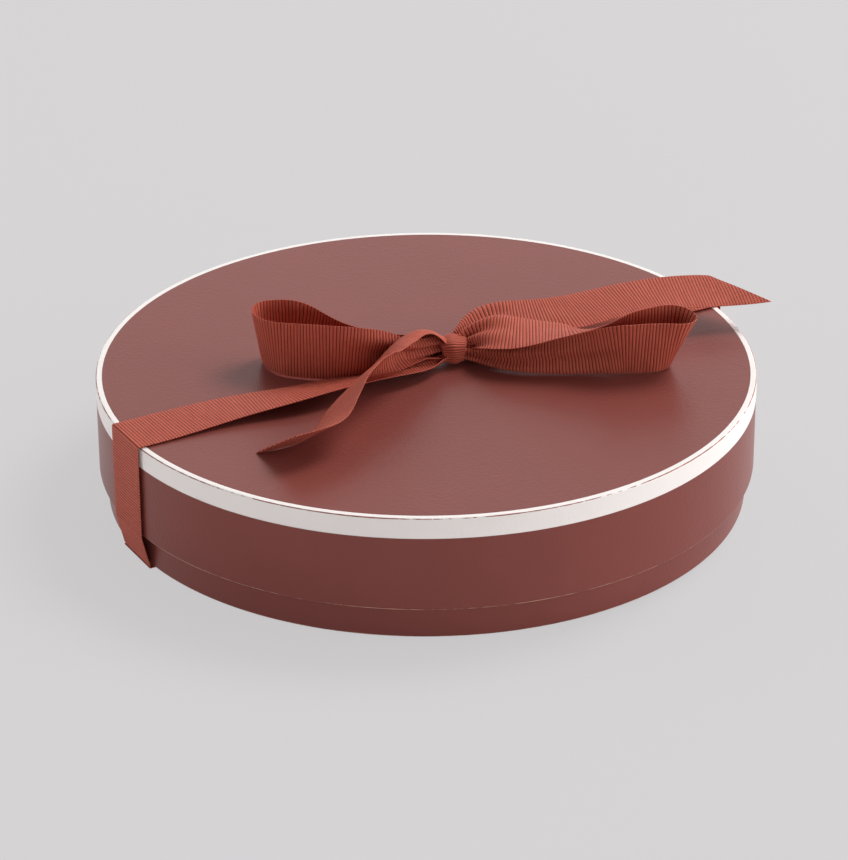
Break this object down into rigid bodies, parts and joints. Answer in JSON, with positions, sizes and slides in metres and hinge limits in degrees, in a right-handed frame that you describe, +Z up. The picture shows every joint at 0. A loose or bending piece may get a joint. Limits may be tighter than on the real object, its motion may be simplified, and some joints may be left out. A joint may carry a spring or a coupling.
{
  "type": "chocolate box",
  "caption": "Round paper-covered chocolate box with a deep lift-off lid, a formed insert of chocolates inside, and a grosgrain ribbon tied round it in a bow.",
  "frame": {"origin": "on the box axis at the underside of the ribbon strip that the box stands on", "axes": "+Z up along the box axis, +X along the ribbon towards the side with the long tail"},
  "size_m": [0.1865, 0.18, 0.0539],
  "materials": {
    "greyboard": "matt compressed board",
    "brown_paper": "satin coated paper with a fine grain",
    "white_paper": "satin coated paper",
    "lining_paper": "matt uncoated paper",
    "cushion": "soft crepe paper over wadding",
    "insert_film": "thermoformed film",
    "cocoa": "dusted with cocoa",
    "dark_chocolate": "tempered, soft sheen",
    "milk_chocolate": "tempered, soft sheen",
    "ribbon": "ribbed grosgrain weave"
  },
  "bodies": {
    "base": {"base_floor_board": "greyboard", "base_floor_lining": "lining_paper", "base_under_paper": "brown_paper", "base_wall_board": "greyboard", "base_wall_lining": "lining_paper", "base_wrap_paper": "brown_paper", "insert": "insert_film", "dome_03": "milk_chocolate", "dome_05": "milk_chocolate", "dome_07": "milk_chocolate", "dome_10": "milk_chocolate", "dome_13": "milk_chocolate", "dome_16": "milk_chocolate", "dome_19": "milk_chocolate", "palet_08": "dark_chocolate", "palet_11": "dark_chocolate", "palet_14": "dark_chocolate", "palet_17": "dark_chocolate", "square_02": "dark_chocolate", "square_04": "dark_chocolate", "square_06": "dark_chocolate", "truffle_01": "cocoa", "truffle_09": "cocoa", "truffle_12": "cocoa", "truffle_15": "cocoa", "truffle_18": "cocoa"},
    "lid": {"lid_cushion": "cushion", "lid_top_board": "greyboard", "lid_top_lining": "lining_paper", "lid_top_paper": "brown_paper", "lid_wall_board": "greyboard", "lid_wall_lining": "lining_paper", "lid_white_band": "white_paper", "lid_wrap_paper": "brown_paper"},
    "ribbon": {"ribbon_knot": "ribbon", "ribbon_left_loop": "ribbon", "ribbon_left_run": "ribbon", "ribbon_left_tail": "ribbon", "ribbon_right_loop": "ribbon", "ribbon_right_run": "ribbon", "ribbon_right_tail": "ribbon"},
    "ribbon_under": {"ribbon_under": "ribbon"}
  },
  "joints": [
    {"name": "lid_lift", "type": "slide", "parent": "base", "child": "lid", "axis": [0, 0, 1], "range_m": [0, 0.08]},
    {"name": "ribbon_slip", "type": "slide", "parent": "lid", "child": "ribbon", "axis": [0, 1, 0], "range_m": [0, 0.12]},
    {"name": "ribbon_under_slip", "type": "slide", "parent": "base", "child": "ribbon_under", "axis": [0, 1, 0], "range_m": [0, 0.12]}
  ],
  "couplings": [
    {"joint": "ribbon_under_slip", "follows": "ribbon_slip", "ratio": 1}
  ]
}
